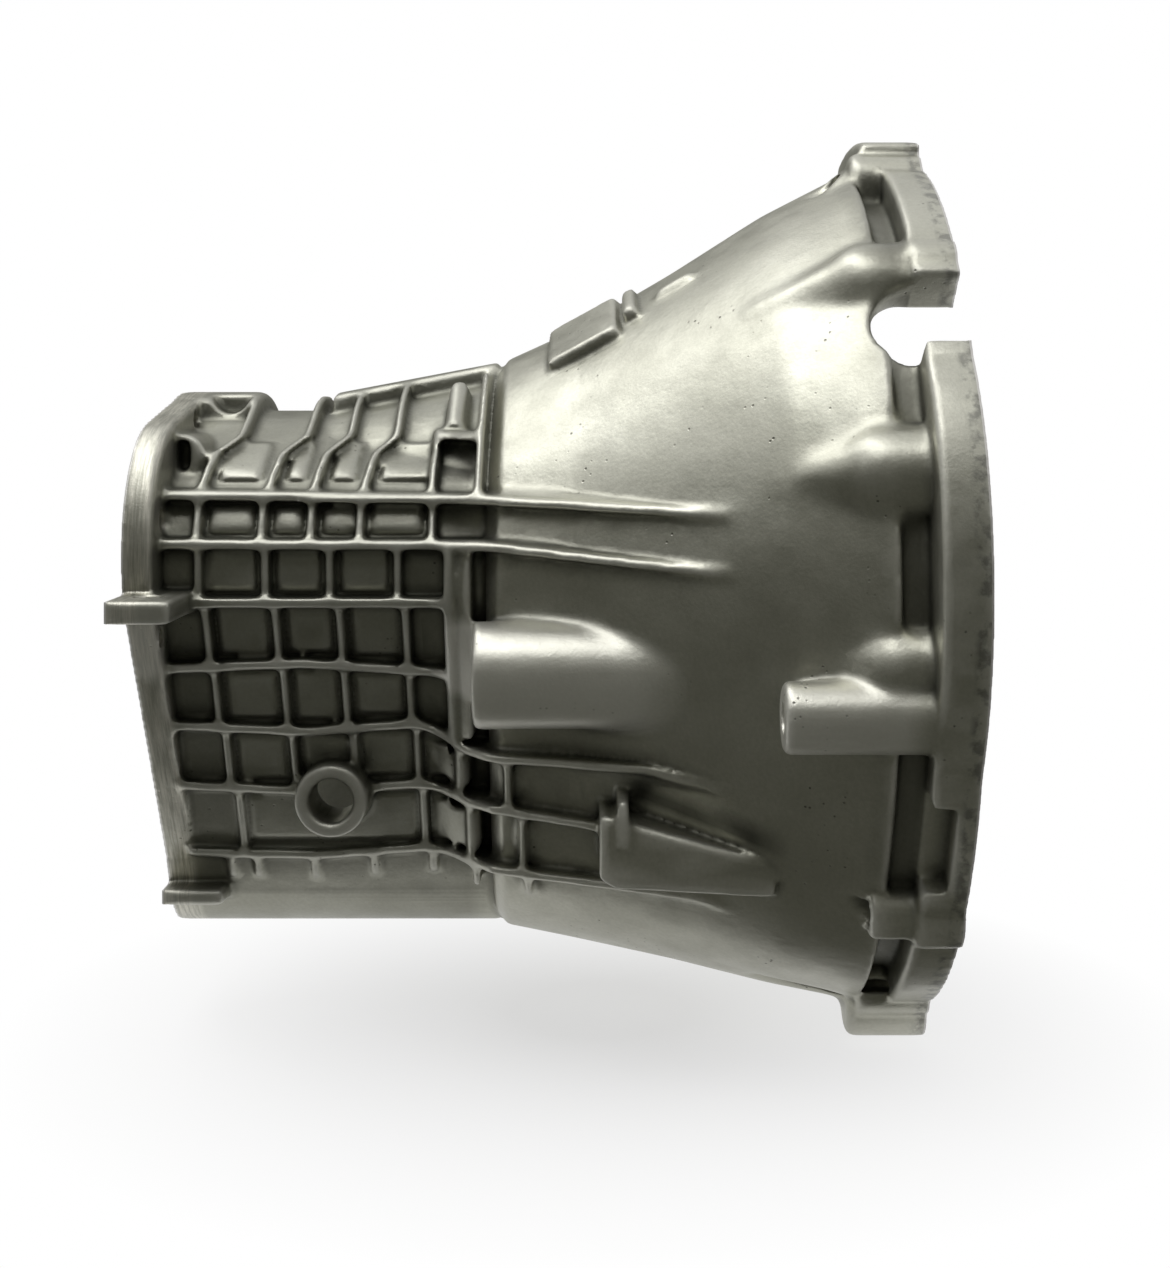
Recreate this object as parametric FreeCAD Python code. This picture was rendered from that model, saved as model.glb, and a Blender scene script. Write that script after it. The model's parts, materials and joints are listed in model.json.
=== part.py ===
import FreeCAD
import Part
import math
import os

# Front housing of a car's gearbox: one light-metal die casting that joins a round
# bell, open towards the engine, to a ribbed gear case, open towards the rear.
# +X runs along the input shaft towards the engine, +Z is up.
# The origin is the centre of the bell's flange face, on the input shaft's line.

Vec = FreeCAD.Vector
ALONG = Vec(1, 0, 0)
SIDE = Vec(0, 1, 0)
ORIGIN = Vec(0, 0, 0)

# Lengths along the shaft
bell_length = 186.0
case_length = 144.0
rim_thickness = 18.0
rear_flange_thickness = 12.0
partition_thickness = 9.0
bell_back = -bell_length
rear_face = bell_back - case_length
rear_flange_front = rear_face + rear_flange_thickness

# Walls
bell_wall = 6.0
bell_back_edge = 5.0
case_wall = 5.0

# Section of the gear case: a top round, two shoulder rounds and a belly round.
# The top climbs from the knee towards the bell.
case_top_r = 76.0
case_top_r_at_bell = 90.0
case_knee_back = 74.0
shoulder_y = 56.0
shoulder_z = 12.0
shoulder_r = 42.0
belly_z = -122.0
belly_r = 34.0

# Outline of the rear flange, as rounds of the same kind, and of its mouth
flange_top_r = 84.0
flange_shoulder_y = 64.0
flange_shoulder_z = 18.0
flange_shoulder_r = 54.0
flange_belly_z = -128.0
flange_belly_r = 28.0
mouth_belly_z = -104.0
mouth_belly_r = 22.0

# Section of the bell at six places from its back to its face:
# share of the bell's length, top radius, half width, depth below the shaft,
# shoulder offset, belly centre below the shaft, top centre above the shaft
bell_sections = [
    (0.00, 97.0, 108.0, 156.0, 30.0, 84.0, 0.0),
    (0.20, 114.0, 120.0, 163.0, 22.0, 76.0, 0.0),
    (0.42, 138.0, 140.0, 171.0, 10.0, 60.0, 0.0),
    (0.64, 164.0, 165.0, 180.0, 6.0, 34.0, 1.0),
    (0.85, 184.0, 179.0, 187.0, 10.0, 20.0, 14.0),
    (1.00, 184.0, 180.0, 186.0, 12.0, 18.0, 14.0),
]

# Bell flange
rim_r = 187.0
mouth_r = 166.0
bolt_circle_r = 178.0
bolt_count = 12
bolt_hole_r = 5.5
bolt_boss_r = 14.0
bolt_boss_length = 31.0
slim_boss_r = 11.0
bolt_first_angle = 12.0
groove_back = 29.0
groove_floor_r = 172.5
rim_pad_angle = 83.5
rim_pad_r = 119.0
rim_pad_out = 80.0
rim_pocket_angle = 119.0
rim_pocket_half_width = 21.0
rim_pocket_depth = 10.0
rim_pocket_floor_r = 174.0
pin_notch = (-9.0, -30.0, -23.5, 193.0)
crown_r = 197.0
crown_half_width = 40.0
crown_length = 26.0

# Bosses behind the bell flange, by their bolt's angle from the top to the near side
long_bosses = (102.0, 252.0)
long_boss_r = 13.5
long_boss_length = 73.0
short_bosses = (132.0, 222.0)
short_boss_r = 10.5
short_boss_length = 36.0
swell_bosses = (42.0, 72.0, 282.0, 312.0)
swell_size = (18.5, 167.5, 33.0, 6.0, 150.0, 80.0)
small_swells = (12.0, 96.5, 257.5, 342.0)
small_swell_size = (15.0, 170.0, 31.0, 7.0, 161.0, 56.0)
swell_hole_depth = 30.0
foot_y = -46.0
foot_z = -181.0
foot_r = 14.0
foot_length = 34.0
foot_slot = (-32.0, -13.0)

# U-shaped notch in the bell flange, on the near side
notch_angle = 51.5
notch_width = 34.0
notch_depth = 35.0

# Ribs
rib_height = 10.0
cross_rib_height = 7.5
tile_height = 2.6
tile_gap = 2.6
belly_share = 0.4
spine_height = 8.0
rib_thickness = 4.0
cross_rib_thickness = 3.3
rib_root_y = 15.0
rib_far_y = 175.0
spine_half_width = 17.0
spine_start = -262.0

# Release lever blister on the bell
blister_r = 21.3
blister_y = -115.5
blister_z = -29.5
blister_start = -190.0
blister_length = 85.0

# Bearing seats in the partition
input_bore_r = 36.0
counter_bore_r = 26.0
counter_z = -80.0
bearing_ring_wall = 8.0
bearing_ring_length = 16.0

# Filler boss on the near side of the case
filler_x = -252.5
filler_z = -87.7
filler_boss_r = 15.5
filler_hole_r = 9.2
filler_chamfer = 2.1
filler_face_y = -78.0

# Bolts of the rear flange: two pairs at its sides, and pairs at its top and bottom
rear_hole_r = 4.25
rear_side_y = 98.0
rear_side_z = (31.65, -16.35)
rear_end_y = 32.0
rear_top_hole_r = 78.5
rear_low_z = -109.0

# Bracket lug on the rear flange, near side
lug_width = 25.0
lug_thickness = 9.0
lug_root_y = -92.0
lug_tip_y = -144.0
lug_z = -2.0
lug_hole_r = 6.0
lug_hole_y = -124.0

# Small lug low on the rear flange, near side
stub_front = -303.0
stub_tip_y = -47.0
stub_z = -136.0
stub_thickness = 7.0

# Saddle on top of the case behind its first rib, with a scallop cut into its near side
saddle_front = -294.0
saddle_half_width = 25.0
saddle_r = 84.5
scallop_x = -304.5
scallop_z = 83.0
scallop_r = 8.5
scallop_end_y = -15.0

# Oval boss with a slot, at the near side's upper corner
oval_x = -314.5
oval_z = 57.0
oval_r = 9.0
oval_face_y = -76.0
oval_slot_width = 5.5
oval_slot_length = 13.0
oval_slot_depth = 9.0

over = 1.0


def at(x, y, z):
    return Vec(x, y, z)


def belt(x, rounds):
    """Wire at one X, wrapped round circles (y, z, r) in anticlockwise order."""
    count = len(rounds)
    normals = []
    for i in range(count):
        y1, z1, r1 = rounds[i]
        y2, z2, r2 = rounds[(i + 1) % count]
        dy, dz = y2 - y1, z2 - z1
        length = math.hypot(dy, dz)
        uy, uz = dy / length, dz / length
        lean = (r1 - r2) / length
        out = math.sqrt(1.0 - lean * lean)
        normals.append((lean * uy + out * uz, lean * uz - out * uy))
    edges = []
    for i in range(count):
        y, z, r = rounds[i]
        before = normals[i - 1]
        after = normals[i]
        my, mz = before[0] + after[0], before[1] + after[1]
        size = math.hypot(my, mz)
        start = at(x, y + r * before[0], z + r * before[1])
        middle = at(x, y + r * my / size, z + r * mz / size)
        end = at(x, y + r * after[0], z + r * after[1])
        edges.append(Part.Arc(start, middle, end).toShape())
        yn, zn, rn = rounds[(i + 1) % count]
        following = at(x, yn + rn * after[0], zn + rn * after[1])
        edges.append(Part.LineSegment(end, following).toShape())
    return Part.Wire(edges)


def case_rounds(grow):
    """Rounds of the gear case's section, made larger by the given amount, less at its belly."""
    belly_grow = min(grow, belly_share * grow)
    return [
        (0.0, 0.0, case_top_r + grow),
        (-shoulder_y, shoulder_z, shoulder_r + grow),
        (0.0, belly_z, belly_r + belly_grow),
        (shoulder_y, shoulder_z, shoulder_r + grow),
    ]


def flange_rounds():
    return [
        (0.0, 0.0, flange_top_r),
        (-flange_shoulder_y, flange_shoulder_z, flange_shoulder_r),
        (0.0, flange_belly_z, flange_belly_r),
        (flange_shoulder_y, flange_shoulder_z, flange_shoulder_r),
    ]


def bell_rounds(section, grow):
    """Rounds of one section of the bell, made larger by the given amount."""
    top, half, low, offset, belly, lift = section[1:]
    return [
        (0.0, lift, top - lift + grow),
        (-offset, 0.0, half - offset + grow),
        (0.0, -belly, low - belly + grow),
        (offset, 0.0, half - offset + grow),
    ]


def prism(x0, x1, rounds):
    face = Part.Face(belt(x0, rounds))
    return face.extrude(at(x1 - x0, 0, 0))


def section_x(section):
    return bell_back + section[0] * bell_length


def bell_form():
    first, second = bell_sections[0], bell_sections[1]
    share = bell_back_edge / (section_x(second) - bell_back)
    edge = [a + (b - a) * share for a, b in zip(first, second)]
    wires = [belt(bell_back, bell_rounds(first, -bell_back_edge))]
    for section in [edge] + bell_sections[1:]:
        wires.append(belt(section_x(section), bell_rounds(section, 0.0)))
    return Part.makeLoft(wires, True, True)


def case_climb(grow):
    knee = at(bell_back - case_knee_back, 0, 0)
    return Part.makeCone(case_top_r + grow, case_top_r_at_bell + grow, case_knee_back, knee, ALONG)


def block(x0, x1, y0, y1, z0, z1):
    corner = at(min(x0, x1), min(y0, y1), min(z0, z1))
    return Part.makeBox(abs(x1 - x0), abs(y1 - y0), abs(z1 - z0), corner)


def round_bar(r, start, end):
    way = end - start
    return Part.makeCylinder(r, way.Length, start, way)


def both_sides(shape):
    return [shape, shape.mirror(ORIGIN, SIDE)]


def joined(shapes):
    return shapes[0].multiFuse(shapes[1:]) if len(shapes) > 1 else shapes[0]


def on_circle(r, degrees):
    """Point on a circle about the shaft, measured from the top to the near side."""
    a = math.radians(degrees)
    return at(0, -r * math.sin(a), r * math.cos(a))


def turned(shape, degrees):
    """Shape carried round the shaft, from the top towards the near side."""
    shape.rotate(ORIGIN, ALONG, degrees)
    return shape


# Skin of the case and of the bell

def skin():
    case = prism(rear_face, bell_back + over, case_rounds(0.0))
    rear_flange = prism(rear_face, rear_flange_front, flange_rounds())
    groove = round_bar(rim_r + 20.0, at(-groove_back, 0, 0), at(-rim_thickness, 0, 0))
    core = round_bar(groove_floor_r, at(-groove_back, 0, 0), at(-rim_thickness, 0, 0))
    bell = bell_form().cut(groove.cut(core))
    rim = round_bar(rim_r, at(-rim_thickness, 0, 0), ORIGIN)
    pad_centre = on_circle(rim_pad_out, rim_pad_angle)
    rim_pad = round_bar(rim_pad_r, pad_centre - at(rim_thickness, 0, 0), pad_centre)
    return joined([case, case_climb(0.0), rear_flange, bell, rim, rim_pad])


# Outer limit of the ribs: level along the case, then sinking into the bell

rib_turn_back = 24.0
rib_fade = ((0, 0.0), (1, -1.0), (2, -7.0), (3, -12.4))


def rib_limit(height):
    turn = bell_back - rib_turn_back
    level = prism(rear_face, turn + over, case_rounds(height))
    wires = [belt(turn, case_rounds(height))]
    for index, fade in rib_fade:
        section = bell_sections[index]
        wires.append(belt(section_x(section), bell_rounds(section, height + fade)))
    return [level, case_climb(height), Part.makeLoft(wires, True, True)]


def limited(shape, height):
    """Shape kept inside the outer limit of the ribs."""
    return joined([shape.common(limit) for limit in rib_limit(height)]).removeSplitter()


# Rib lines on the sides of the case and of the bell, as points along X and Z

middle_x = -262.0
rib_lines = [
    [(-319.0, 41.5), (-186.0, 39.7), (-84.0, 35.7)],
    [(-319.0, 21.8), (-186.0, 21.6), (-84.0, 12.9)],
    [(-319.0, -2.0), (-203.5, -2.0)],
    [(-319.0, -30.6), (middle_x, -28.0), (-205.0, -32.0)],
    [(-319.0, -56.0), (middle_x, -58.8), (-216.0, -55.0), (-205.0, -59.6), (-194.0, -65.0),
     (-180.0, -66.5), (-122.0, -67.0), (-84.0, -74.3)],
    [(-319.0, -84.0), (middle_x, -86.8), (-216.0, -83.0), (-194.0, -88.5), (-176.0, -90.0), (-138.0, -94.0)],
    [(-319.0, -116.5), (middle_x, -118.0), (-216.0, -114.0), (-180.0, -117.5), (-140.0, -119.8),
     (-99.0, -123.0), (-84.0, -127.0)],
]


def rib_z(line, x):
    """Height of a rib line at X."""
    for (x0, z0), (x1, z1) in zip(line, line[1:]):
        if x <= x1:
            return z0 + (z1 - z0) * (x - x0) / (x1 - x0)
    return line[-1][1]


def long_rib(line):
    half = rib_thickness / 2.0
    upper = [at(x, -rib_root_y, z + half) for x, z in line]
    lower = [at(x, -rib_root_y, z - half) for x, z in reversed(line)]
    outline = Part.makePolygon(upper + lower + upper[:1])
    return Part.Face(outline).extrude(at(0, -rib_far_y, 0))


# Wedges that lead the ribs onto the bell: number of the rib line, how far the crest stands
# out at the bell's back, and how wide the slope above it is there

fins = ((0, 10.0, 8.5), (1, 10.0, 6.0), (4, 9.5, 6.5))
fin_back = bell_back + 6.0
fin_root = 5.0


def skin_y(x, z):
    """Y of the bell's skin on the near side, between two of its sections, above or below the shaft."""
    share = (x - bell_back) / bell_length
    for before, after in zip(bell_sections, bell_sections[1:]):
        if share <= after[0]:
            part = (share - before[0]) / (after[0] - before[0])
            half, offset = [before[i] + (after[i] - before[i]) * part for i in (2, 4)]
            return -offset - math.sqrt((half - offset) ** 2 - z ** 2)


def fin(line, out, slope):
    """Three-sided wedge from a rib's crest to the tip of its line."""
    crest_z = rib_z(line, fin_back) - rib_thickness / 2.0
    tip_x, tip_z = line[-1]
    crest = at(fin_back, skin_y(fin_back, crest_z) - out, crest_z)
    above = at(fin_back, skin_y(fin_back, crest_z + slope) + over, crest_z + slope)
    root = at(fin_back, skin_y(fin_back, crest_z) + fin_root, crest_z)
    tip = at(tip_x, skin_y(tip_x, tip_z) + over, tip_z)
    corners = ((crest, above, root), (crest, tip, above), (above, tip, root), (root, tip, crest))
    faces = [Part.Face(Part.makePolygon(corner + corner[:1])) for corner in corners]
    return Part.makeSolid(Part.makeShell(faces))


# Cross ribs of each band between two rib lines, as places along X

cross_ribs = [
    (0, 1, (-303.5, -277.1, -257.2, -237.3, -208.0)),
    (1, 2, (-302.4, -275.4, -249.2, -221.7)),
    (2, 3, (-300.4, -271.9, -245.8, -218.9)),
    (3, 4, (-299.4, -270.8, -245.5, -218.5)),
    (4, 5, (-297.2, -269.3, -243.6, -217.0, -198.8, -177.7)),
    (5, 6, (-294.5, -215.4, -194.7, -172.0)),
]
collar_front = -199.0
skirt_ribs = (-301.0, -289.3, -264.4, -238.3, -212.5, -192.5, -170.0)
skirt_rib_drop = 12.0
crown_ribs = (-304.4, -276.4, -257.9, -237.3)
crown_rib_knee_z = 58.0
crown_rib_shift = 11.0
crown_tile_inset = 2.0
crown_tile_top = 62.0


def cross_rib_set():
    half = cross_rib_thickness / 2.0
    ribs = []
    for upper, lower, places in cross_ribs:
        for x in places:
            top = rib_z(rib_lines[upper], x)
            bottom = rib_z(rib_lines[lower], x)
            ribs.append(block(x - half, x + half, -rib_root_y, -rib_far_y, bottom, top))
    for x in skirt_ribs:
        top = rib_z(rib_lines[-1], x)
        ribs.append(block(x - half, x + half, -rib_root_y, -rib_far_y, top - skirt_rib_drop, top))
    return ribs


def crown_rib_set():
    """Ribs that climb from the top rib line, step forwards and cross the case's top."""
    half = cross_rib_thickness / 2.0
    low = rib_lines[0][1][1]
    high = case_top_r_at_bell + 2.0 * rib_height
    ribs = []
    for x in crown_ribs:
        path = [(x, low), (x + 3.0, crown_rib_knee_z), (x + crown_rib_shift, crown_rib_knee_z + 7.0)]
        path.append((x + crown_rib_shift, high))
        left = [at(px - half, -rib_far_y, pz) for px, pz in path]
        right = [at(px + half, -rib_far_y, pz) for px, pz in reversed(path)]
        outline = Part.makePolygon(left + right + left[:1])
        ribs.append(Part.Face(outline).extrude(at(0, 2.0 * rib_far_y, 0)))
    return ribs


# Upright ribs in front of the bell's back, as X from and to, Z from and to, and height;
# those of the crown run over the case's top to the other side

uprights = [
    (-202.7, -199.3, -59.0, 21.7, 10.0),
    (-198.4, -191.6, -60.0, 21.7, 7.0),
]
crown_uprights = [
    (-210.4, -207.4, 39.9, 68.0, 7.5),
    (-190.8, -187.8, 39.8, 93.0, 9.5),
]
shelf = (-209.0, -189.0, 63.5, 67.0, 8.5)
post_x = -201.5
post_foot = (-60.5, 67.0)
post_head = (-33.0, 86.0)
post_r = 4.6


def tiles():
    """Raised fields between the ribs of the near side."""
    half_rib = rib_thickness / 2.0
    found = []
    for upper, lower, places in cross_ribs:
        for x0, x1 in zip(places, places[1:]):
            left, right = x0 + half_rib + tile_gap, min(x1, collar_front) - half_rib - tile_gap
            top = min(rib_z(rib_lines[upper], x) for x in (left, right)) - half_rib - tile_gap
            low = max(rib_z(rib_lines[lower], x) for x in (left, right)) + half_rib + tile_gap
            found.append(limited(block(left, right, -rib_root_y, -rib_far_y, low, top), tile_height))
    for x0, x1 in zip(crown_ribs, crown_ribs[1:] + (uprights[0][0],)):
        left = x0 + half_rib + tile_gap + crown_tile_inset
        right = x1 - half_rib - tile_gap
        low = rib_lines[0][0][1] + half_rib + tile_gap + crown_tile_inset
        field = block(left, right, -rib_root_y, -rib_far_y, low, crown_tile_top)
        found.append(limited(field, tile_height))
    return found


def ribs():
    found = []
    for line in rib_lines:
        found.extend(both_sides(limited(long_rib(line), rib_height)))
    for index, out, slope in fins:
        found.extend(both_sides(fin(rib_lines[index], out, slope)))
    for rib in cross_rib_set():
        found.extend(both_sides(limited(rib, cross_rib_height)))
    for rib in crown_rib_set():
        found.append(limited(rib, cross_rib_height))
    for x0, x1, z0, z1, height in uprights + crown_uprights + [shelf]:
        upright = block(x0, x1, -rib_root_y, -rib_far_y, z0, z1)
        found.extend(both_sides(limited(upright, height)))
    post = round_bar(post_r, at(post_x, *post_foot), at(post_x, *post_head))
    found.extend(both_sides(post))
    spine = block(spine_start, bell_back + over, -spine_half_width, spine_half_width, 60.0, 130.0)
    found.append(spine.common(case_climb(spine_height)))
    return found + tiles()


# Bosses and lugs behind the bell's flange

def swell(degrees, size):
    """Soft bulge that leads a bolt boss back into the bell."""
    r, centre_r, back, tip_r, tip_centre_r, tip_back = size
    centre = at(-back, 0, centre_r)
    tip = at(-tip_back, 0, tip_centre_r)
    bar = round_bar(r, centre, at(-rim_thickness + over, 0, centre_r))
    ball = Part.makeSphere(r, centre)
    nose = Part.makeCone(tip_r, r - 0.8, (centre - tip).Length, tip, centre - tip)
    return turned(joined([ball, bar, nose]), degrees)


def boss(degrees, r, length):
    centre = on_circle(bolt_circle_r, degrees)
    return round_bar(r, centre - at(length, 0, 0), centre)


def flange_bosses():
    parts = []
    for i in range(bolt_count):
        angle = bolt_first_angle + i * 360.0 / bolt_count
        if angle in long_bosses:
            parts.append(boss(angle, long_boss_r, long_boss_length))
        elif angle in short_bosses:
            parts.append(boss(angle, short_boss_r, short_boss_length))
            parts.append(boss(angle, bolt_boss_r, rim_thickness))
        elif angle in swell_bosses:
            parts.append(swell(angle, swell_size))
            parts.append(boss(angle, slim_boss_r, rim_thickness))
        else:
            parts.append(boss(angle, bolt_boss_r, bolt_boss_length))
    crown = block(-crown_length, 0, -crown_half_width, crown_half_width, mouth_r, crown_r + over)
    crown_limit = round_bar(crown_r, at(-crown_length, 0, 0), ORIGIN)
    parts.append(crown.common(crown_limit))
    parts.append(round_bar(foot_r, at(-foot_length, foot_y, foot_z), at(0, foot_y, foot_z)))
    parts.extend([swell(angle, small_swell_size) for angle in small_swells])
    return parts


def rim_cuts():
    """Deep pocket behind the flange, slot over the foot and nick for a pin."""
    half = rim_pocket_half_width
    x1 = -rim_thickness + rim_pocket_depth
    pocket = block(-groove_back, x1, -half, half, rim_pocket_floor_r, rim_r + rim_pad_out)
    top = foot_z + foot_r
    slot = block(foot_slot[0], foot_slot[1], foot_y - foot_r - 10.0, foot_y + 4.0, top - 3.0, top + 1.5)
    x0, z0, z1, r = pin_notch
    nick = block(x0, over, -rim_r - 40.0, -r, z0, z1)
    return [turned(pocket, rim_pocket_angle), slot, nick]


# Release lever blister, filler boss and bracket lug on the near side

def blister():
    start = at(blister_start, blister_y, blister_z)
    return round_bar(blister_r, start, start + at(blister_length, 0, 0))


def filler_boss():
    centre = at(filler_x, filler_face_y, filler_z)
    return round_bar(filler_boss_r, centre, centre + at(0, 50.0, 0))


def filler_hole():
    centre = at(filler_x, filler_face_y, filler_z)
    bore = round_bar(filler_hole_r, centre - at(0, over, 0), centre + at(0, 60.0, 0))
    mouth = Part.makeCone(filler_hole_r + filler_chamfer, filler_hole_r, filler_chamfer, centre, SIDE)
    return bore.fuse(mouth)


def bracket_lug():
    x1 = rear_face + lug_width
    half = lug_thickness / 2.0
    plate = block(rear_face, x1, lug_root_y, lug_tip_y, lug_z - half, lug_z + half)
    centre_x = rear_face + lug_width / 2.0
    hole = round_bar(lug_hole_r, at(centre_x, lug_hole_y, lug_z - lug_thickness),
                     at(centre_x, lug_hole_y, lug_z + lug_thickness))
    return plate.cut(hole)


def corner_lugs():
    """Small lug, saddle and oval boss next to the rear flange."""
    half = stub_thickness / 2.0
    stub = block(rear_face, stub_front, -10.0, stub_tip_y, stub_z - half, stub_z + half)
    saddle = block(rear_face, saddle_front, -saddle_half_width, saddle_half_width, 60.0, saddle_r)
    saddle = saddle.common(round_bar(saddle_r, at(rear_face, 0, 0), at(saddle_front, 0, 0)))
    oval = round_bar(oval_r, at(oval_x, oval_face_y, oval_z), at(oval_x, -rib_root_y - 25.0, oval_z))
    return [stub, saddle, oval]


def corner_cuts():
    """Scallop of the saddle and slot of the oval boss."""
    outside = at(scallop_x, -rib_far_y, scallop_z)
    scallop = round_bar(scallop_r, outside, at(scallop_x, scallop_end_y, scallop_z))
    half = oval_slot_width / 2.0
    reach = oval_slot_length / 2.0
    y0 = oval_face_y - 20.0
    y1 = oval_face_y + oval_slot_depth
    slot = block(oval_x - half, oval_x + half, y0, y1, oval_z - reach, oval_z + reach)
    return [scallop, slot]


# Pads on the bell

upper_pad_x = -148.0
upper_pad_r = 119.0
upper_pad_length = 34.0
upper_pad_width = 46.0
upper_pad_depth = 14.0
upper_pad_slope = 30.0
upper_pad_roll = 20.0
pad_lug = (20.5, 27.0, -14.0, 16.0, 1.5)
ridge_foot = (-112.0, 134.4)
ridge_head = (-101.0, 141.2)
ridge_r = 4.0
ridge_angle = 21.0
lower_pad_y = -126.0
lower_pad_outline = (
    (-140.0, -83.0), (-64.0, -103.5), (-65.0, -108.0), (-71.0, -108.5), (-71.0, -116.0),
    (-134.0, -112.5), (-140.0, -109.0),
)
lower_pad_depth = 70.0
pad_rib = (-133.0, -128.5, -128.5, -96.0, -77.0)


def upper_pad():
    """Flat pad with a small upright lug at its front end."""
    half_length = upper_pad_length / 2.0
    half_width = upper_pad_width / 2.0
    pad = block(-half_length, half_length, -half_width, half_width, -upper_pad_depth, 0)
    x0, x1, y0, y1, top = pad_lug
    lug = block(x0, x1, y0, y1, -upper_pad_depth, top)
    pads = Part.makeCompound([pad, lug])
    pads.rotate(ORIGIN, SIDE, -upper_pad_slope)
    pads.translate(at(upper_pad_x, 0, upper_pad_r))
    return turned(pads, upper_pad_roll)


def ridge():
    """Small round ridge in front of the upper pad."""
    foot = at(ridge_foot[0], 0, ridge_foot[1])
    head = at(ridge_head[0], 0, ridge_head[1])
    ends = [Part.makeSphere(ridge_r, foot), Part.makeSphere(ridge_r, head)]
    return turned(joined([round_bar(ridge_r, foot, head)] + ends), ridge_angle)


def lower_pad():
    points = [at(x, lower_pad_y, z) for x, z in lower_pad_outline]
    outline = Part.makePolygon(points + points[:1])
    pad = Part.Face(outline).extrude(at(0, lower_pad_depth, 0))
    x0, x1, y, z0, z1 = pad_rib
    return pad.fuse(block(x0, x1, y, y + lower_pad_depth, z0, z1))


# Hollows

def bell_hollow():
    wires = []
    for section in bell_sections[0::2] + bell_sections[-1:]:
        x = section_x(section)
        wires.append(belt(x, bell_rounds(section, -bell_wall)))
    hollow = Part.makeLoft(wires, True, True)
    limit = round_bar(mouth_r, at(bell_back + partition_thickness, 0, 0), ORIGIN)
    mouth = round_bar(mouth_r, at(-8.0, 0, 0), at(over, 0, 0))
    return hollow.common(limit).fuse(mouth)


def case_hollow():
    end = bell_back - over
    inside = prism(rear_flange_front, end, case_rounds(-case_wall))
    mouth_rounds = case_rounds(-case_wall)
    mouth_rounds[2] = (0.0, mouth_belly_z, mouth_belly_r)
    mouth = prism(rear_face - over, rear_flange_front + over, mouth_rounds)
    return joined([inside, mouth, case_climb(-case_wall)])


def bearing_rings():
    x0 = bell_back - bearing_ring_length + partition_thickness
    x1 = bell_back + partition_thickness
    parts = []
    for r, z in ((input_bore_r, 0.0), (counter_bore_r, counter_z)):
        parts.append(round_bar(r + bearing_ring_wall, at(x0, 0, z), at(x1, 0, z)))
    return parts


def bearing_bores():
    x0 = bell_back - bearing_ring_length - 20.0
    x1 = bell_back + partition_thickness + 20.0
    cuts = []
    for r, z in ((input_bore_r, 0.0), (counter_bore_r, counter_z)):
        cuts.append(round_bar(r, at(x0, 0, z), at(x1, 0, z)))
    return cuts


def bolt_holes():
    cuts = []
    for i in range(bolt_count):
        angle = bolt_first_angle + i * 360.0 / bolt_count
        centre = on_circle(bolt_circle_r, angle)
        depth = swell_hole_depth if angle in swell_bosses else long_boss_length + over
        cuts.append(round_bar(bolt_hole_r, centre - at(depth, 0, 0), centre + at(over, 0, 0)))
    return cuts


def rear_hole_places():
    top_z = math.sqrt(rear_top_hole_r ** 2 - rear_end_y ** 2)
    places = [(rear_side_y, z) for z in rear_side_z]
    return places + [(rear_end_y, top_z), (rear_end_y, rear_low_z)]


def rear_holes():
    cuts = []
    for y, z in rear_hole_places():
        for way in (-1.0, 1.0):
            start = at(rear_face - over, way * y, z)
            cuts.append(round_bar(rear_hole_r, start, start + at(rear_flange_thickness + 2.0 * over, 0, 0)))
    return cuts


def notch():
    half = notch_width / 2.0
    end = -notch_depth + half
    low = bolt_circle_r - 40.0
    high = bolt_circle_r + 40.0
    slot = block(end, 60.0, -half, half, low, high)
    round_end = round_bar(half, at(end, 0, low), at(end, 0, high))
    return turned(slot.fuse(round_end), notch_angle)


def housing():
    body = joined([skin()] + ribs())
    body = joined([body] + flange_bosses())
    for part in [blister(), filler_boss(), bracket_lug(), upper_pad(), ridge(), lower_pad()] + corner_lugs():
        body = body.fuse(part)
    for tool in rim_cuts() + corner_cuts():
        body = body.cut(tool)
    body = body.cut(bell_hollow().fuse(case_hollow()))
    body = joined([body] + bearing_rings())
    for tool in bearing_bores() + [filler_hole(), notch()]:
        body = body.cut(tool)
    body = body.cut(Part.makeCompound(bolt_holes()))
    return body.cut(Part.makeCompound(rear_holes()))


os.makedirs("parts", exist_ok=True)
model = housing()
print("solids", len(model.Solids), "valid", model.isValid(), "faces", len(model.Faces))
print("box", model.BoundBox)
print("volume cm3", round(model.Volume / 1000.0, 1))
model.exportStep("parts/gearbox_housing.step")
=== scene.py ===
import json
import math

import bmesh
import bpy
import numpy as np
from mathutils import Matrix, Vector
from mathutils.kdtree import KDTree


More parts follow.
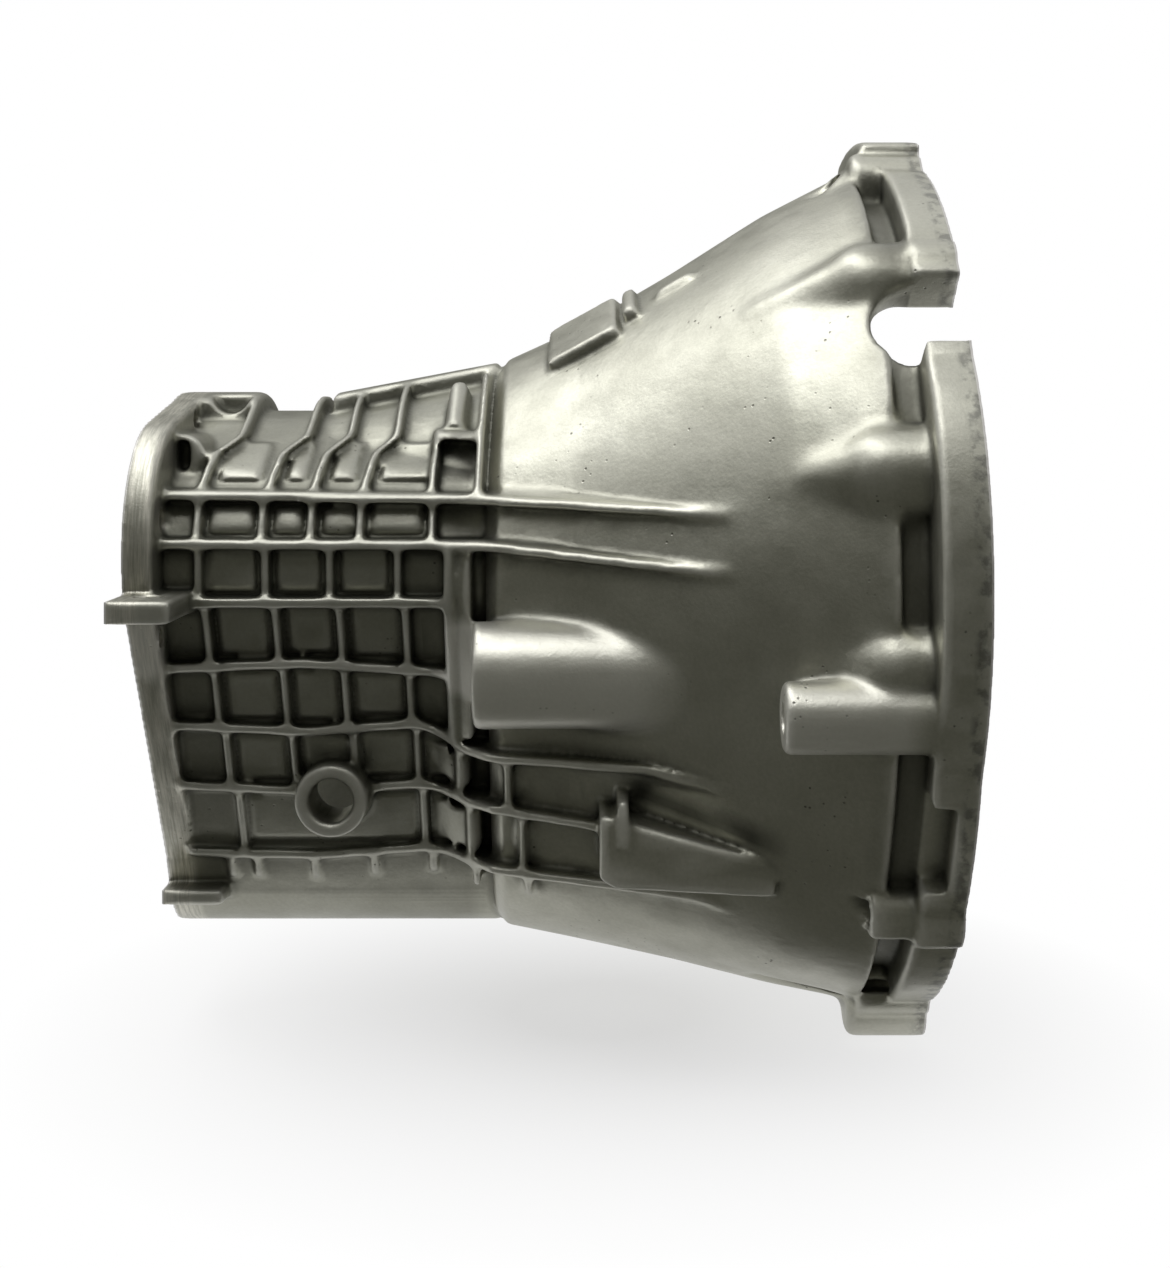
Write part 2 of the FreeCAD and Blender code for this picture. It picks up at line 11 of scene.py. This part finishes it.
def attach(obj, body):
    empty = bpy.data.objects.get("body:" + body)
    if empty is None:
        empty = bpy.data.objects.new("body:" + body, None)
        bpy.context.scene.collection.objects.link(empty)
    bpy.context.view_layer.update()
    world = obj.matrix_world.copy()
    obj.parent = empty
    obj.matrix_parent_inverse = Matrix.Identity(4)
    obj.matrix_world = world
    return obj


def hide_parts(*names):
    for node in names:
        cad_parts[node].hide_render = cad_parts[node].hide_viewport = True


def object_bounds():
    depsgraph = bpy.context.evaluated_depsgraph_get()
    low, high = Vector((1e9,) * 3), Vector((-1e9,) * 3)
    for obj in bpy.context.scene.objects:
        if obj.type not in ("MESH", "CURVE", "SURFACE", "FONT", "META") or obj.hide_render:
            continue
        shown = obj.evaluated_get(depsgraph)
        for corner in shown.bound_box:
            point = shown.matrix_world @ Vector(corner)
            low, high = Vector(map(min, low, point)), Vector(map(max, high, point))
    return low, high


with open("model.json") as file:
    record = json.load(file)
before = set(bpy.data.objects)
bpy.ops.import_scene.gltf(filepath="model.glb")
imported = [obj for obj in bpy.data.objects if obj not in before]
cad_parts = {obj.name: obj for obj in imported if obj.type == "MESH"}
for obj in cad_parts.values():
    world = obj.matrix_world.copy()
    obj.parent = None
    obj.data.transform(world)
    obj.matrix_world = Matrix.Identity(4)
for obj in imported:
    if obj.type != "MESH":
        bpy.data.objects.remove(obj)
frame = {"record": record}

cad_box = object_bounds()

# The camera looks level at the housing from its near side, a little behind its middle
# and above the shaft's line, as the photograph was taken.

photo_width = 1170
photo_height = 1268
eye = Vector((-0.141, -0.870, 0.075))
focal_px = 1896
eye_px = (597, 412.6)
film = 36.0

camera_data = bpy.data.cameras.new("camera")
camera_data.sensor_width = film
camera_data.lens = focal_px * film / photo_height
camera_data.shift_x = (photo_width / 2 - eye_px[0]) / photo_height
camera_data.shift_y = (eye_px[1] - photo_height / 2) / photo_height
camera = bpy.data.objects.new("camera", camera_data)
camera.location = eye
camera.rotation_euler = (math.radians(90), 0, 0)
bpy.context.scene.collection.objects.link(camera)
bpy.context.scene.camera = camera

# Housing: one pressure die casting in light metal. It leaves the die with every corner
# rounded, and the bulges and the lever blister run softly into the bell. Only the two
# flange faces, the bores and the holes are cut afterwards, so they keep sharp edges.

cast_grain = 0.00125
flow_passes = 70
corner_passes = 8
rim_passes = 7
crest_passes = 22
crest_low, crest_high = 0.0003, 0.0012
relief_passes = 60
relief_depth = 0.0022
milled_reach = 0.35 * cast_grain
milled_facing = 0.3
housing_triangles = 196000
sliver_width = 0.00001
sharp_degrees = 38

faced_depth = 0.0014
bolt_circle, bolt_hole = 0.178, 0.0055
bolt_angles = [math.radians(12 + 30 * step) for step in range(12)]
bell_bolts = [(-bolt_circle * math.sin(a), bolt_circle * math.cos(a)) for a in bolt_angles]
bell_holes_end = -0.1
rear_hole = 0.00425
rear_bolts = [(side * y, z) for side in (-1, 1) for y, z in
              ((0.098, 0.03165), (0.098, -0.01635), (0.032, 0.07168), (0.032, -0.109))]
rear_holes_end = 0.014

bell_from, bell_to, bell_run = -0.179, -0.031, 0.006
fin_lines = (
    (((-0.186, 0.0397), (-0.084, 0.0357)), 0.0085),
    (((-0.186, 0.0216), (-0.084, 0.0129)), 0.0060),
    (((-0.186, -0.0660), (-0.122, -0.0670), (-0.084, -0.0743)), 0.0065),
    (((-0.186, -0.0892), (-0.138, -0.0940)), 0.0),
    (((-0.186, -0.1165), (-0.140, -0.1198), (-0.099, -0.1230), (-0.084, -0.1270)), 0.0),
)
fin_half, fin_run = 0.0045, 0.005
fin_softness, tip_back, tip_front = 0.04, 0.008, 0.004
crisp_pads = (((-0.144, -1.0, -0.120), (-0.060, -0.085, -0.073)),
              ((-0.175, -0.077, 0.075), (-0.121, -0.009, 1.0)))
ridge_back, ridge_front, ridge_round, ridge_degrees, ridge_reach = -0.1185, -0.0945, 0.138, 21, 0.010
bosses = ((102, 0.0135, 0.073), (252, 0.0135, 0.073), (132, 0.0105, 0.036), (222, 0.0105, 0.036))
boss_skirt, boss_nose = (0.001, 0.007), (0.008, 0.002)
notch_x, notch_angle, notch_near, notch_far = -0.018, math.radians(51.5), 0.020, 0.027
bulges = (((42, 72, 282, 312), 0.1675, 0.022, -0.09, 1.0),
          ((12, 96.5, 257.5, 342), 0.170, 0.017, -0.07, 0.7))
bulge_run, flange_back = 0.005, 0.019


def points_of(piece):
    flat = np.empty(len(piece.data.vertices) * 3, dtype=np.float32)
    piece.data.vertices.foreach_get("co", flat)
    return flat.reshape(-1, 3).astype(float)


def facing_of(piece):
    flat = np.empty(len(piece.data.vertices) * 3, dtype=np.float32)
    piece.data.vertices.foreach_get("normal", flat)
    return flat.reshape(-1, 3)


def apply_modifiers(piece):
    graph = bpy.context.evaluated_depsgraph_get()
    made = bpy.data.meshes.new_from_object(piece.evaluated_get(graph))
    piece.modifiers.clear()
    piece.data = made


def die_cast(source, voxel):
    piece = bpy.data.objects.new("housing_casting", source.data.copy())
    bpy.context.scene.collection.objects.link(piece)
    skin = piece.modifiers.new("cast skin", "REMESH")
    skin.mode = "VOXEL"
    skin.voxel_size = voxel
    skin.adaptivity = 0.0
    apply_modifiers(piece)
    return piece


def ramp(value, start, end):
    return np.clip((value - start) / (end - start), 0.0, 1.0)


def from_line(points, radius, degrees):
    """Distance of each point from a line along the shaft's way."""
    a = math.radians(degrees)
    return np.hypot(points[:, 1] + radius * math.sin(a), points[:, 2] - radius * math.cos(a))


def on_face(points):
    """Which points lie on one of the two flange faces."""
    x = points[:, 0]
    return (x > cad_box[1][0] - faced_depth) | (x < cad_box[0][0] + faced_depth)


def in_hole(points):
    """Which points lie in a bore or a hole."""
    x, y, z = points.T
    cut = np.zeros(len(points), dtype=bool)
    in_bell = x > bell_holes_end
    in_rear = x < cad_box[0][0] + rear_holes_end
    for places, r, end in ((bell_bolts, bolt_hole, in_bell), (rear_bolts, rear_hole, in_rear)):
        for hole_y, hole_z in places:
            cut |= end & (np.abs(np.hypot(y - hole_y, z - hole_z) - r) < faced_depth)
    for mount in frame["record"]["mounts"]:
        if "r_mm" not in mount["dims"]:
            continue
        axis = np.array(Vector(mount["axis"]).normalized())
        rel = points - np.array(mount["pos_m"], dtype=float)
        along = rel @ axis
        radial = np.linalg.norm(rel - along[:, None] * axis, axis=1)
        r = mount["dims"]["r_mm"] / 1000
        length = mount["dims"]["length_mm"] / 1000
        cut |= (np.abs(radial - r) < faced_depth) & (np.abs(along) < length)
    return cut


def machined(points):
    return on_face(points) | in_hole(points)


def flowing(points):
    """How far each point belongs to the open bell, whose forms run into each other."""
    x, y, z = points.T
    soft = ramp(x, bell_from, bell_from + bell_run) * ramp(-x, -bell_to, -bell_to + bell_run)
    for line, slope in fin_lines:
        root, tip = line[0][0], line[-1][0]
        height = np.interp(x, [p[0] for p in line], [p[1] for p in line])
        past_tip = ramp(x, tip - tip_back, tip + tip_front)
        above = z - height - slope * ramp(-x, -tip, -root)
        clear = ramp(np.maximum(above, height - z), fin_half, fin_half + fin_run)
        soft *= np.maximum(clear, fin_softness + (1 - fin_softness) * past_tip)
    for low, high in crisp_pads:
        soft[np.all((points > low) & (points < high), axis=1)] = 0.0
    on_ridge = from_line(points, ridge_round, ridge_degrees) < ridge_reach
    soft[on_ridge & (x > ridge_back) & (x < ridge_front)] = 0.0
    for degrees, r, back in bosses:
        near = 1 - ramp(from_line(points, bolt_circle, degrees), r + boss_skirt[0], r + boss_skirt[1])
        soft *= 1 - near * ramp(x, -back - boss_nose[0], -back - boss_nose[1])
    from_notch = np.hypot(x - notch_x, y * math.cos(notch_angle) + z * math.sin(notch_angle))
    soft *= ramp(from_notch, notch_near, notch_far)
    behind_flange = ramp(-x, flange_back, flange_back + bulge_run)
    for angles, radius, reach, back, softness in bulges:
        for degrees in angles:
            near = 1 - ramp(from_line(points, radius, degrees), reach, reach + bulge_run)
            soft = np.maximum(soft, softness * near * behind_flange * (x > back))
    return soft


def soften(piece, weights, passes, within_faces=False):
    group = piece.vertex_groups.new(name="as cast")
    steps = 20
    level = np.round(weights * steps).astype(int)
    for step in range(1, steps + 1):
        group.add(np.nonzero(level == step)[0].tolist(), step / steps, "REPLACE")
    smooth = piece.modifiers.new("soft corners", "SMOOTH")
    smooth.factor = 0.5
    smooth.iterations = passes
    smooth.use_x = not within_faces
    smooth.vertex_group = group.name
    apply_modifiers(piece)
    piece.vertex_groups.clear()


def relief(piece, passes):
    """How far each point lies below a heavily smoothed copy, in corners, or above it, on edges."""
    copy = bpy.data.objects.new("smoothed", piece.data.copy())
    bpy.context.scene.collection.objects.link(copy)
    smooth = copy.modifiers.new("smooth", "SMOOTH")
    smooth.factor = 0.5
    smooth.iterations = passes
    apply_modifiers(copy)
    rise = np.einsum("ij,ij->i", points_of(copy) - points_of(piece), facing_of(piece))
    bpy.data.objects.remove(copy)
    return rise


def finder(points):
    tree = KDTree(len(points))
    for index, point in enumerate(points):
        tree.insert(point, index)
    tree.balance()
    return tree


def mill_faces(piece, reach):
    here = points_of(piece)
    across = facing_of(piece)[:, 0]
    for end, side in ((cad_box[1][0], 1), (cad_box[0][0], -1)):
        here[(np.abs(here[:, 0] - end) < reach) & (side * across > milled_facing), 0] = end
    piece.data.vertices.foreach_set("co", here.astype(np.float32).ravel())
    piece.data.update()


def thin_out(piece, most):
    piece.data.calc_loop_triangles()
    count = len(piece.data.loop_triangles)
    if count <= most:
        return
    fewer = piece.modifiers.new("fewer faces", "DECIMATE")
    fewer.ratio = most / count
    apply_modifiers(piece)


def clear_slivers(piece, width):
    work = bmesh.new()
    work.from_mesh(piece.data)
    bmesh.ops.remove_doubles(work, verts=work.verts, dist=width)
    bmesh.ops.dissolve_degenerate(work, edges=work.edges, dist=width)
    bmesh.ops.triangulate(work, faces=work.faces)
    corners = {}
    for face in work.faces:
        corners.setdefault(frozenset(corner.index for corner in face.verts), []).append(face)
    doubled = [face for faces in corners.values() if len(faces) > 1 for face in faces]
    bmesh.ops.delete(work, geom=doubled, context="FACES")
    stray = [face for face in work.faces if all(edge.is_boundary for edge in face.edges)]
    bmesh.ops.delete(work, geom=stray, context="FACES")
    work.to_mesh(piece.data)
    work.free()


housing = die_cast(bpy.data.objects["gearbox_housing"], cast_grain)
soften(housing, flowing(points_of(housing)), flow_passes)
soften(housing, 1.0 - machined(points_of(housing)), corner_passes)
rims = on_face(points_of(housing)) & ~in_hole(points_of(housing))
soften(housing, rims.astype(float), rim_passes, within_faces=True)
crests = ramp(-relief(housing, relief_passes), crest_low, crest_high)
soften(housing, crests * (1.0 - machined(points_of(housing))), crest_passes)
rise = relief(housing, relief_passes)
nearest = finder(points_of(housing))
mill_faces(housing, milled_reach)
thin_out(housing, housing_triangles)
clear_slivers(housing, sliver_width)
kept = [nearest.find(vertex.co)[1] for vertex in housing.data.vertices]
for name, side in (("sunk", 1), ("proud", -1)):
    depth = ramp(side * rise[kept], 0.0, relief_depth)
    housing.data.attributes.new(name, "FLOAT", "POINT").data.foreach_set("value", depth)
housing.data.shade_smooth()
housing.data.set_sharp_from_angle(angle=math.radians(sharp_degrees))
housing.name = "housing_casting"


def open_nodes(owner):
    """The nodes made from here on belong to this material or world."""
    global nodes, links
    owner.use_nodes = True
    nodes, links = owner.node_tree.nodes, owner.node_tree.links


def node(kind, **settings):
    made = nodes.new("ShaderNode" + kind)
    for name, value in settings.items():
        setattr(made, name, value)
    return made


def wire(output, target):
    links.new(output, target)


def number(operation, first, second=None):
    made = node("Math", operation=operation)
    for socket, value in zip(made.inputs, (first, second)):
        if value is None:
            continue
        if isinstance(value, (int, float)):
            socket.default_value = value
        else:
            wire(value, socket)
    return made.outputs[0]


def both(first, second):
    return number("MULTIPLY", first, second)


def stretch(value, low, high, to_low=0.0, to_high=1.0):
    made = node("MapRange", clamp=True)
    made.inputs["From Min"].default_value = low
    made.inputs["From Max"].default_value = high
    made.inputs["To Min"].default_value = to_low
    made.inputs["To Max"].default_value = to_high
    wire(value, made.inputs["Value"])
    return made.outputs["Result"]


def blend(share, first, second):
    made = node("Mix", data_type="RGBA")
    for socket, value in ((made.inputs[0], share), (made.inputs[6], first), (made.inputs[7], second)):
        if isinstance(value, (int, float, tuple)):
            socket.default_value = value
        else:
            wire(value, socket)
    return made.outputs[2]


def coat(under, where, strength, colour):
    return blend(both(where, strength), under, colour)


def grain(scale, detail=3.0, squeeze=None, rough=0.5):
    made = node("TexNoise")
    made.inputs["Scale"].default_value = scale
    made.inputs["Detail"].default_value = detail
    made.inputs["Roughness"].default_value = rough
    if squeeze:
        mapping = node("Mapping")
        mapping.inputs["Scale"].default_value = squeeze
        wire(place.outputs["Object"], mapping.inputs["Vector"])
        wire(mapping.outputs[0], made.inputs["Vector"])
    else:
        wire(place.outputs["Object"], made.inputs["Vector"])
    return made.outputs[0]


metal = bpy.data.materials.new("blasted_casting")
open_nodes(metal)
skin = nodes["Principled BSDF"]
place = node("TexCoord")
axes = node("SeparateXYZ")
wire(place.outputs["Object"], axes.inputs[0])
along, outward, upward = axes.outputs
from_shaft = number("SQRT", number("ADD", number("POWER", outward, 2.0), number("POWER", upward, 2.0)))

blasted_dull, blasted_pale = (0.415, 0.412, 0.350, 1), (0.500, 0.497, 0.430, 1)
blast_speckle = (0.25, 0.248, 0.205, 1)
clouds = stretch(grain(22, 4), 0.35, 0.68)
speckle = stretch(grain(620, 2), 0.3, 0.7)
base = blend(clouds, blasted_dull, blasted_pale)
base = coat(base, speckle, 0.22, blast_speckle)

# Painted shade: the whole gear case behind the bell is darkened, standing in for the shade that falls
# in its deep ribbed pockets.
painted_case_shade = (0.12, 0.122, 0.098, 1)
case_shade_front, case_shade_rear = (-0.190, -0.198), (-0.3190, -0.3160)
case_shade_span = both(stretch(along, *case_shade_front), stretch(along, *case_shade_rear))
base = coat(base, case_shade_span, 0.42, painted_case_shade)

# Painted shade: hollows and rib roots, measured by the sunk attribute, are darkened nearly to black as
# the occlusion shade in them; the same mask also roughens them.
painted_corner_shade, edge_wear_and_highlight = (0.040, 0.041, 0.031, 1), (0.58, 0.575, 0.52, 1)
in_corners = node("Attribute", attribute_name="sunk")
shaded_corners = stretch(in_corners.outputs["Fac"], 0.04, 0.65)
base = coat(base, shaded_corners, 0.92, painted_corner_shade)
# Raised edges and crests, measured by the proud attribute, are lightened in patches and made less
# metallic: partly real edge wear, partly a painted highlight along the rib crests.
on_edges = node("Attribute", attribute_name="proud")
patchy = stretch(grain(38, 3), 0.25, 0.55, 0.55, 1.0)
wear_and_highlight = both(stretch(on_edges.outputs["Fac"], 0.10, 0.80), patchy)
base = coat(base, wear_and_highlight, 0.85, edge_wear_and_highlight)

# Painted shadow: a band above the lower pad's top edge, under the lowest fin on the near side, is
# darkened as the shadow that fin and pad cast there.
painted_ledge_shadow = (0.045, 0.046, 0.036, 1)
ledge_origin, ledge_slope, ledge_height, ledge_side = 0.128, 0.321, 0.080, -0.08
ledge_foot, ledge_top = (-0.001, 0.002), (0.013, 0.005)
ledge_rear, ledge_front = (-0.132, -0.124), (-0.066, -0.080)
ledge_rise = both(number("ADD", along, ledge_origin), ledge_slope)
ledge_up = number("ADD", ledge_rise, number("ADD", upward, ledge_height))
ledge_shadow = both(stretch(ledge_up, *ledge_foot), stretch(ledge_up, *ledge_top))
ledge_shadow = both(ledge_shadow, both(stretch(along, *ledge_rear), stretch(along, *ledge_front)))
ledge_shadow = both(ledge_shadow, number("LESS_THAN", outward, ledge_side))
base = coat(base, ledge_shadow, 0.75, painted_ledge_shadow)

# Painted highlight: the round sides of the lever blister and of the long boss are lightened, and made
# a little less metallic, as a sheen on them.
painted_boss_sheen = (0.72, 0.71, 0.65, 1)
blister = ((0, -0.1155, -0.0295), 0.0213, (-0.100, -0.125))
long_boss = ((0, -0.1741, -0.0370), 0.0135, (-0.020, -0.030))
sheen_out, sheen_in = 0.003, -0.002
boss_sheen = 0.0
across_shaft = node("VectorMath", operation="MULTIPLY")
across_shaft.inputs[1].default_value = (0, 1, 1)
wire(place.outputs["Object"], across_shaft.inputs[0])
for centre, r, span in (blister, long_boss):
    away = node("VectorMath", operation="DISTANCE")
    away.inputs[1].default_value = centre
    wire(across_shaft.outputs[0], away.inputs[0])
    on_round = stretch(away.outputs["Value"], r + sheen_out, r + sheen_in)
    boss_sheen = number("MAXIMUM", both(on_round, stretch(along, *span)), boss_sheen)
base = coat(base, boss_sheen, 0.6, painted_boss_sheen)

pit_black = (0.05, 0.048, 0.04, 1)
pit_cells = node("TexVoronoi")
pit_cells.inputs["Scale"].default_value = 230
wire(place.outputs["Object"], pit_cells.inputs["Vector"])
pit_spots = stretch(pit_cells.outputs["Distance"], 0.06, 0.16, 1.0, 0.0)
pits = both(pit_spots, stretch(grain(30, 2), 0.57, 0.66))
base = coat(base, pits, 0.75, pit_black)

edge_stain = (0.10, 0.10, 0.095, 1)
flange_rim = (-0.0072, -0.0050)
blotches = stretch(grain(150, 4, rough=0.6), 0.46, 0.60)
base = coat(base, both(stretch(along, *flange_rim), blotches), 0.55, edge_stain)

# Painted shade: the groove floor behind the flange rim and the pocket behind the crown are darkened,
# as the shade that falls there.
painted_groove_shade = (0.06, 0.06, 0.047, 1)
groove_rear, groove_front = (-0.0390, -0.0260), (-0.0175, -0.0185)
low_radius, crown_radius, crown_height = (0.1775, 0.1735), (0.1885, 0.1855), (0.128, 0.134)
groove_shade = both(stretch(along, *groove_rear), stretch(along, *groove_front))
low_floor = stretch(from_shaft, *low_radius)
crown_floor = both(stretch(from_shaft, *crown_radius), stretch(upward, *crown_height))
base = coat(base, both(groove_shade, number("MAXIMUM", low_floor, crown_floor)), 0.60, painted_groove_shade)

strip_grey, strip_scratch = (0.20, 0.198, 0.165, 1), (0.66, 0.64, 0.56, 1)
rear_strip = stretch(along, -0.3176, -0.3186)
scratches = stretch(grain(1, 4, (900, 60, 40), 0.7), 0.40, 0.62)
base = coat(base, rear_strip, 0.45, strip_grey)
base = coat(base, both(rear_strip, scratches), 0.60, strip_scratch)

milled = (0.62, 0.61, 0.58, 1)
bell_face, rear_face = -0.0009, -0.3291
on_bell_face = number("GREATER_THAN", along, bell_face)
on_rear_face = number("LESS_THAN", along, rear_face)
base = blend(number("MAXIMUM", on_bell_face, on_rear_face), base, milled)
wire(base, skin.inputs["Base Color"])

clean_metal, smoothest, roughest = 0.92, 0.34, 0.44
dulled = number("MAXIMUM", both(wear_and_highlight, 0.50), both(boss_sheen, 0.22))
wire(number("SUBTRACT", clean_metal, dulled), skin.inputs["Metallic"])
satin = stretch(grain(70, 3), 0.3, 0.7, smoothest, roughest)
rougher = number("ADD", both(shaded_corners, 0.16), both(wear_and_highlight, 0.10))
wire(number("ADD", satin, rougher), skin.inputs["Roughness"])

waves = node("Bump")
waves.inputs["Strength"].default_value = 0.35
waves.inputs["Distance"].default_value = 0.0012
wire(number("SUBTRACT", grain(55, 3), both(pits, 0.5)), waves.inputs["Height"])
blasting = node("Bump")
blasting.inputs["Strength"].default_value = 0.22
blasting.inputs["Distance"].default_value = 0.0003
wire(grain(900, 3), blasting.inputs["Height"])
wire(waves.outputs[0], blasting.inputs["Normal"])
wire(blasting.outputs[0], skin.inputs["Normal"])

housing.data.materials.clear()
housing.data.materials.append(metal)
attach(housing, "root")
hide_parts("gearbox_housing")

# Studio: a plain pale floor that fades into the white background, under one wide soft box.
# Dark cloths round the camera's side and a paler one behind give the metal something to
# mirror. Only the metal sees them.

floor_drop = 0.004
floor_reach = 6.0
ground = cad_box[0][2] - floor_drop
shadow_middle = (-0.14, 0.0, ground)
shadow_from, shadow_to, shadow_least = 0.04, 0.27, 0.60
paper_white, plain_white = (0.95, 0.95, 0.95, 1), (1, 1, 1, 1)


def board(name, corners):
    mesh = bpy.data.meshes.new(name)
    mesh.from_pydata(corners, [], [(0, 1, 2, 3)])
    made = bpy.data.objects.new(name, mesh)
    bpy.context.scene.collection.objects.link(made)
    return made


def lying(x0, y0, x1, y1, z):
    return [(x0, y0, z), (x1, y0, z), (x1, y1, z), (x0, y1, z)]


def upright(x0, y0, x1, y1, foot, head):
    return [(x0, y0, foot), (x1, y1, foot), (x1, y1, head), (x0, y0, head)]


def seen_white():
    """The camera's rays, and those that the metal mirrors, meet plain white."""
    path = node("LightPath")
    rays = number("MAXIMUM", path.outputs["Is Camera Ray"], path.outputs["Is Glossy Ray"])
    return number("MAXIMUM", rays, path.outputs["Is Transmission Ray"])


def choose(share, first, second, target):
    made = node("MixShader")
    wire(share, made.inputs[0])
    wire(first.outputs[0], made.inputs[1])
    wire(second.outputs[0], made.inputs[2])
    wire(made.outputs[0], target)


floor = board("floor", lying(-floor_reach, -floor_reach, floor_reach, floor_reach, ground))
paper = bpy.data.materials.new("pale_paper")
open_nodes(paper)
sheet = nodes["Principled BSDF"]
sheet.inputs["Base Color"].default_value = paper_white
sheet.inputs["Roughness"].default_value = 0.9
sheet.inputs["Specular IOR Level"].default_value = 0.0
white = node("Emission")
white.inputs["Color"].default_value = plain_white
floor_place = node("TexCoord")
from_middle = node("VectorMath", operation="DISTANCE")
from_middle.inputs[1].default_value = shadow_middle
wire(floor_place.outputs["Object"], from_middle.inputs[0])
fade = stretch(from_middle.outputs["Value"], shadow_from, shadow_to, shadow_least, 1.0)
choose(both(fade, seen_white()), sheet, white, nodes["Material Output"].inputs["Surface"])
floor.data.materials.append(paper)


def dark_cloth(name, corners, low_shade, top_shade, low, high):
    cloth = board(name, corners)
    felt = bpy.data.materials.new(name)
    open_nodes(felt)
    nodes.remove(nodes["Principled BSDF"])
    glow = node("Emission")
    felt_place = node("TexCoord")
    height = node("SeparateXYZ")
    wire(felt_place.outputs["Object"], height.inputs[0])
    wire(blend(stretch(height.outputs[2], low, high), low_shade, top_shade), glow.inputs["Color"])
    wire(glow.outputs[0], nodes["Material Output"].inputs["Surface"])
    cloth.data.materials.append(felt)
    cloth.visible_camera = False
    cloth.visible_diffuse = False
    cloth.visible_shadow = False


dark = (0.085, 0.085, 0.070, 1)
dim = (0.19, 0.19, 0.165, 1)
pale = (0.21, 0.21, 0.19, 1)
foot = ground + 0.001
left, right = -1.7, 1.5
front, near, back, behind = -1.1, -0.07, 0.5, 1.2
knee, side_top, front_top, behind_top = 0.1, 0.8, 1.15, 1.1
dark_cloth("cloth_in_front", upright(left, front, right, front, foot, front_top),
           dark, dim, knee, front_top)
dark_cloth("cloth_on_floor", lying(left, front, right, near, foot),
           dark, dark, foot, front_top)
dark_cloth("cloth_at_left", upright(left, front, left, back, foot, side_top),
           dark, dim, knee, side_top)
dark_cloth("cloth_behind", upright(left, behind, right, behind, foot, behind_top),
           pale, pale, foot, behind_top)
dark_cloth("cloth_at_right", upright(right, front, right, back, foot, side_top),
           dark, dim, knee, side_top)

world = bpy.data.worlds.new("studio")
bpy.context.scene.world = world
open_nodes(world)
room_grey = (0.30, 0.30, 0.30, 1)
sky = nodes["Background"]
sky.inputs["Color"].default_value = room_grey
backdrop = node("Background")
backdrop.inputs["Color"].default_value = plain_white
choose(seen_white(), sky, backdrop, nodes["World Output"].inputs["Surface"])

lamp_aim = Vector((-0.15, 0, 0))
overhead = bpy.data.lights.new("overhead", "AREA")
overhead.shape = "RECTANGLE"
overhead.size, overhead.size_y = 1.7, 0.66
overhead.energy = 10
lamp = bpy.data.objects.new("overhead", overhead)
lamp.location = (-0.55, -0.21, 1.25)
lamp.rotation_euler = (lamp_aim - lamp.location).to_track_quat("-Z", "Y").to_euler()
bpy.context.scene.collection.objects.link(lamp)

bpy.context.scene.view_settings.view_transform = "Standard"
